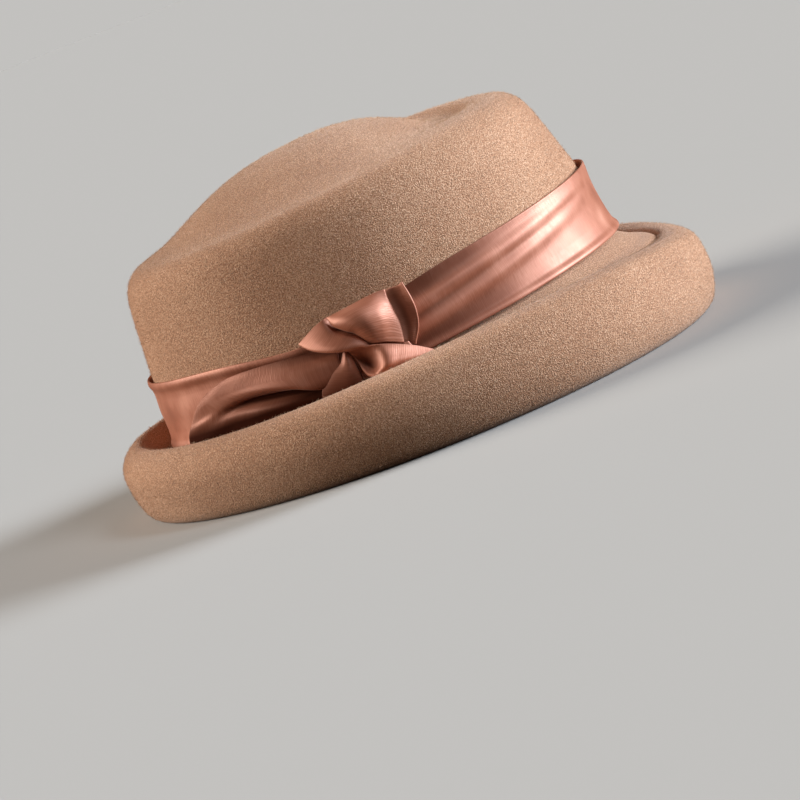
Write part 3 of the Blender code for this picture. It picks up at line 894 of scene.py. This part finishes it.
satin_piece(
    "satin_lower_leaf",
    [
        [(-18.8, 15.2, 7.0), (-21.6, 12.0, 7.2), (-27.0, 9.8, 7.6), (-31.4, 6.2, 7.6),
         (-34.4, 0.6, 7.2)],
        [(-18.5, 15.2, 7.6), (-20.8, 11.4, 8.2), (-25.0, 8.6, 8.6), (-28.6, 5.0, 8.6),
         (-31.0, 0.2, 7.8)],
        [(-18.2, 15.1, 8.0), (-19.8, 10.8, 9.0), (-22.4, 7.4, 9.2), (-25.0, 3.8, 9.0),
         (-26.6, -0.2, 8.2)],
        [(-17.8, 14.9, 7.8), (-18.6, 10.2, 9.0), (-19.8, 6.4, 9.2), (-21.2, 2.8, 9.0),
         (-22.0, -0.6, 8.0)],
        [(-17.4, 14.6, 7.0), (-17.4, 9.8, 7.2), (-17.4, 5.8, 7.4), (-17.4, 2.2, 7.4),
         (-17.2, -0.8, 6.8)],
        [(-17.6, 14.4, 6.0), (-17.4, 9.6, 4.4), (-17.4, 5.6, 4.0), (-17.4, 2.0, 4.0),
         (-17.2, -0.9, 4.0)],
    ],
    (0.015, 0.018),
    "knot_lower_leaf",
    # Painted shadow behind the roll, and painted shade under the knot's other layers.
    roll_shadow=0.5,
    loop_shade=0.25,
)
satin_piece(
    "satin_lower_petal",
    [
        [(-17.1, 15.0, 8.6), (-13.0, 14.4, 9.8), (-8.5, 13.4, 10.6), (-4.0, 11.5, 10.4), (1.0, 8.4, 8.4),
         (6.4, 4.5, 6.2), (12.7, -1.0, 4.2)],
        [(-16.9, 13.4, 7.4), (-14.0, 12.0, 6.4), (-9.8, 10.8, 8.6), (-5.0, 9.2, 11.8), (0.2, 6.6, 9.6),
         (6.0, 3.5, 6.8), (12.5, -1.3, 4.4)],
        [(-16.5, 11.4, 6.8), (-14.4, 9.6, 4.8), (-10.6, 8.2, 7.2), (-5.8, 6.8, 12.6), (-0.8, 4.8, 10.6),
         (5.4, 2.3, 7.6), (12.3, -1.6, 4.8)],
        [(-15.9, 9.2, 6.8), (-14.2, 6.8, 4.8), (-11.2, 5.0, 7.2), (-7.0, 4.2, 13.0), (-2.0, 3.0, 11.4),
         (4.6, 1.1, 8.2), (12.1, -1.9, 5.2)],
        [(-15.4, 7.4, 8.2), (-14.1, 4.4, 9.0), (-11.6, 2.6, 10.6), (-8.6, 2.6, 11.8), (-3.2, 1.2, 10.4),
         (3.8, 0.0, 8.0), (11.9, -2.1, 6.2)],
        [(-15.2, 6.2, 8.0), (-14.3, 3.0, 8.8), (-12.0, 1.2, 10.0), (-9.2, 0.8, 10.6), (-4.2, -0.4, 9.4),
         (3.0, -0.8, 7.6), (11.6, -2.3, 6.0)],
        [(-14.6, 5.6, 5.6), (-13.6, 2.2, 5.8), (-11.6, 0.2, 6.4), (-8.8, -0.4, 7.0), (-4.2, -1.4, 7.0),
         (3.0, -1.6, 6.4), (11.4, -2.6, 5.6)],
    ],
    (0.016, 0.032),
    "knot_lower_petal",
)

# %% [markdown]
# ## Sweatband
#
# Inside, a stiff ribbon ring sits against the head. It is sewn to the collar along its lower
# edge and stands free above. One stitch is modelled as a stretched ball and copied round.

# %% Sweatband
SWEATBAND_HEIGHT = 26.0 * MM
SWEATBAND_FOOT = 0.6 * MM
SWEATBAND_THICKNESS = 0.9 * MM
SWEATBAND_CUT = (0.026, 0.545)
STITCHES = 90
STITCH_HEIGHT = 3.0 * MM
STITCH_RADIUS = 0.35 * MM
STITCH_STRETCH = 4.5
STITCH_INSET = 0.55 * MM
SWEATBAND_INSET = 7.4 * MM
SWEATBAND_LEAN = 0.05


def sweatband_ring(angle, height, out=0.0):
    share = height / EDGE_HEIGHTS[1]
    off_wall = -SWEATBAND_INSET - SWEATBAND_LEAN * height + out
    return oval(angle, wall_insets(share), share * edge_height(angle), off_wall)


def make_sweatband():
    heights = np.linspace(SWEATBAND_FOOT, SWEATBAND_HEIGHT, 9)
    rows = [sweatband_ring(round_angles, height) for height in heights]
    piece = grid_piece("ribbon_sweatband", np.array(rows), ribbon, closed=True)
    uv_in_metres(piece, SWEATBAND_CUT[1], SWEATBAND_CUT[0])
    add_wall(piece, SWEATBAND_THICKNESS, 0, 1)
    settle(piece, "ribbon", "sweatband")


def make_stitches():
    bpy.ops.object.select_all(action="DESELECT")
    bpy.ops.mesh.primitive_uv_sphere_add(segments=8, ring_count=6, radius=STITCH_RADIUS)
    first = bpy.context.object
    first.name = "sweatband_stitches"
    first.data.name = "sweatband_stitches"
    first.data.transform(Matrix.Diagonal((STITCH_STRETCH, 1.0, 1.0, 1.0)))
    first.data.materials.append(thread)
    shape = first.data.copy()
    for index, angle in enumerate(np.linspace(0.0, 2 * math.pi, STITCHES, endpoint=False)):
        here, ahead = sweatband_ring(np.array([angle, angle + 0.02]), STITCH_HEIGHT, -STITCH_INSET)
        turn = Vector(ahead - here).to_track_quat("X", "Z").to_matrix().to_4x4()
        stitch = first if index == 0 else bpy.data.objects.new("stitch", shape.copy())
        if index:
            bpy.context.scene.collection.objects.link(stitch)
        stitch.data.transform(Matrix.Translation(here) @ turn)
        stitch.select_set(True)
    bpy.context.view_layer.objects.active = first
    bpy.ops.object.join()
    bpy.ops.object.shade_smooth()
    bpy.data.meshes.remove(shape)
    settle(first, "ribbon")


make_sweatband()
make_stitches()

# %% [markdown]
# ## Loose fibres
#
# Wool felt is never quite smooth: short hairs lie on it and soften its outline. Each hair is a
# thin closed spike. Random places on the outer side of the felt are drawn with a fixed seed, so
# the hairs are the same at every run.

# %% Loose fibres
CROWN_HAIRS = 45000
BRIM_HAIRS = 48000
HAIR_WIDTH = 0.10 * MM
HAIR_LENGTHS = (0.5 * MM, 1.7 * MM)
HAIR_LIFT = 0.7
HAIR_LIFT_RANGE = (0.4, 1.6)
HAIR_DEPTH = 1.6
LOWEST_HAIR = 2.0 * MM
RIBBON_CLEARANCE = 0.6 * MM
COLLAR_CLEARANCE = 1.03
CROWN_SEED = 7
BRIM_SEED = 11

hair_finish, hair_shader = new_finish("camel_hair")[:2]
hair_shader.inputs["Base Color"].default_value = (0.60, 0.40, 0.26, 1.0)
hair_shader.inputs["Roughness"].default_value = 0.7


def outer_triangles(piece):
    """Corners of the triangles on the outer side of a felt sheet."""
    mesh = piece.data
    count = felt_faces[piece.name]
    widest = max(mesh.polygons[:count], key=lambda face: face.center.x)
    first = 0 if widest.normal.x > 0 else count
    mesh.calc_loop_triangles()
    corners = np.empty(len(mesh.loop_triangles) * 3, dtype=np.int32)
    owners = np.empty(len(mesh.loop_triangles), dtype=np.int32)
    mesh.loop_triangles.foreach_get("vertices", corners)
    mesh.loop_triangles.foreach_get("polygon_index", owners)
    places = np.empty(len(mesh.vertices) * 3)
    mesh.vertices.foreach_get("co", places)
    chosen = (owners >= first) & (owners < first + count)
    return places.reshape(-1, 3)[corners.reshape(-1, 3)[chosen]]


def unit(vectors):
    return vectors / np.linalg.norm(vectors, axis=1, keepdims=True)


def above_band(places):
    """Keeps hairs on the crown above the ribbon."""
    behind = places[:, 1] - HEAD_CENTRE.y
    rise = places[:, 2] - HEAD_CENTRE.z
    height = behind * math.sin(CROWN_TILT) + rise * math.cos(CROWN_TILT)
    angle = np.arctan2(behind / HEAD_HALF_LENGTH, places[:, 0] / HEAD_HALF_WIDTH)
    return height > band_top(angle) + RIBBON_CLEARANCE


def off_the_collar(places):
    """Keeps hairs on the brim outside the ribbon and off the floor."""
    across = places[:, 0] / HEAD_HALF_WIDTH
    along = (places[:, 1] - HEAD_CENTRE.y) / HEAD_HALF_LENGTH
    return (np.hypot(across, along) > COLLAR_CLEARANCE) & (places[:, 2] > LOWEST_HAIR)


def make_hairs(name, piece, keep, count, seed):
    random = np.random.default_rng(seed)
    triangles = outer_triangles(piece)
    triangles = triangles[keep(triangles.mean(axis=1))]
    first, second, third = triangles[:, 0], triangles[:, 1], triangles[:, 2]
    normals = np.cross(second - first, third - first)
    areas = np.linalg.norm(normals, axis=1)
    picked = random.choice(len(areas), count, p=areas / areas.sum())
    along, across = random.random((2, count, 1))
    flip = along + across > 1
    along, across = np.where(flip, 1 - along, along), np.where(flip, 1 - across, across)
    roots = first[picked] + along * (second - first)[picked] + across * (third - first)[picked]
    normal = unit(normals[picked])
    lay = random.normal(size=(count, 3))
    lay = unit(lay - normal * (lay * normal).sum(axis=1, keepdims=True))
    lift = HAIR_LIFT * random.uniform(*HAIR_LIFT_RANGE, (count, 1))
    direction = unit(lay + normal * lift)
    side = unit(np.cross(direction, normal)) * HAIR_WIDTH / 2
    under = np.cross(direction, side) * HAIR_DEPTH
    length = random.uniform(*HAIR_LENGTHS, (count, 1))
    tips = direction * length
    spikes = np.stack([roots - side, roots + side, roots + under, roots + tips], axis=1)
    faces = np.array([(0, 1, 3), (1, 2, 3), (2, 0, 3), (2, 1, 0)])
    volume = np.linalg.det(np.stack([2 * side[0], (side + under)[0], (side + tips)[0]]))
    if volume < 0:
        faces = faces[:, ::-1]
    faces = faces[None] + 4 * np.arange(count)[:, None, None]
    mesh = bpy.data.meshes.new(name)
    mesh.from_pydata(spikes.reshape(-1, 3), [], faces.reshape(-1, 3))
    mesh.materials.append(hair_finish)
    made = bpy.data.objects.new(name, mesh)
    bpy.context.scene.collection.objects.link(made)
    settle(made, "felt")


make_hairs("crown_hairs", crown, above_band, CROWN_HAIRS, CROWN_SEED)
make_hairs("brim_hairs", brim, off_the_collar, BRIM_HAIRS, BRIM_SEED)

# %% [markdown]
# ## Light and floor
#
# Two soft lights shine from the right and the left of the hat, as seen in the picture, so its
# ends are bright and the middle of its side is darker. A weak third light from the front draws
# the streaks of shine on the satin. The floor is plain and pale where it is seen, and bounces
# less light than it shows. The sky takes the floor's colour at the horizon.

# %% Light and floor
FLOOR_SEEN = (0.48, 0.47, 0.45, 1.0)
FLOOR_BOUNCE = (0.09, 0.08, 0.07, 1.0)
WORLD_LIGHT = (0.065, 0.060, 0.056, 1.0)
COOL_WHITE = (0.91, 0.99, 1.09)
WARM_WHITE = (1.0, 0.92, 0.84)
# Name, direction, strength, softness in degrees and colour of each light.
LIGHTS = [
    ("light_right", image_right * 0.90 + image_up * 0.60 - look * 0.08, 6.5, 26.0, COOL_WHITE),
    ("light_left", -image_right * 1.00 + image_up * 0.05 + look * 0.05, 4.0, 40.0, WARM_WHITE),
    ("light_front", level_right * 0.52 + level_up * 0.48 - look * 0.59, 0.8, 18.0, COOL_WHITE),
]


def soft_sun(name, direction, strength, softness, colour):
    """Adds a lamp and gives the light that it lays on the floor."""
    lamp = bpy.data.lights.new(name, "SUN")
    lamp.energy = strength
    lamp.color = colour
    lamp.angle = math.radians(softness)
    made = bpy.data.objects.new(name, lamp)
    bpy.context.scene.collection.objects.link(made)
    made.location = direction.normalized() * 2.0
    made.rotation_mode = "QUATERNION"
    made.rotation_quaternion = (-direction).to_track_quat("-Z", "Y")
    return np.array(colour) * strength * max(direction.normalized().z, 0.0) / math.pi


def seen_directly(start):
    """1 where the camera, a reflection or a clear view looks, and 0 for light that bounces."""
    camera_ray = start.node("ShaderNodeLightPath", output=0)
    glossy_ray = start.node("ShaderNodeLightPath", output=4)
    clear_ray = start.node("ShaderNodeLightPath", output=6)
    return camera_ray + glossy_ray + clear_ray


floor_light = sum(soft_sun(*light) for light in LIGHTS) + WORLD_LIGHT[:3]
horizon = tuple(FLOOR_SEEN[:3] * floor_light) + (1.0,)

floor_finish, floor_shader, floor_start = new_finish("pale_floor")
feed(floor_shader, "Base Color", mixed(floor_start, seen_directly(floor_start), FLOOR_BOUNCE, FLOOR_SEEN))
floor_shader.inputs["Roughness"].default_value = 1.0
floor_shader.inputs["Specular IOR Level"].default_value = 0.0
bpy.ops.object.select_all(action="DESELECT")
bpy.ops.mesh.primitive_plane_add(size=60.0)
floor = bpy.context.object
floor.name = "floor"
floor.data.materials.append(floor_finish)

world = bpy.data.worlds.new("studio")
world.use_nodes = True
background = world.node_tree.nodes["Background"]
sky = Tone(world.node_tree)
feed(background, "Color", mixed(sky, seen_directly(sky), WORLD_LIGHT, horizon))
bpy.context.scene.world = world
bpy.context.scene.view_settings.view_transform = "Standard"
print("floor brightness", [round(part, 2) for part in horizon[:3]])
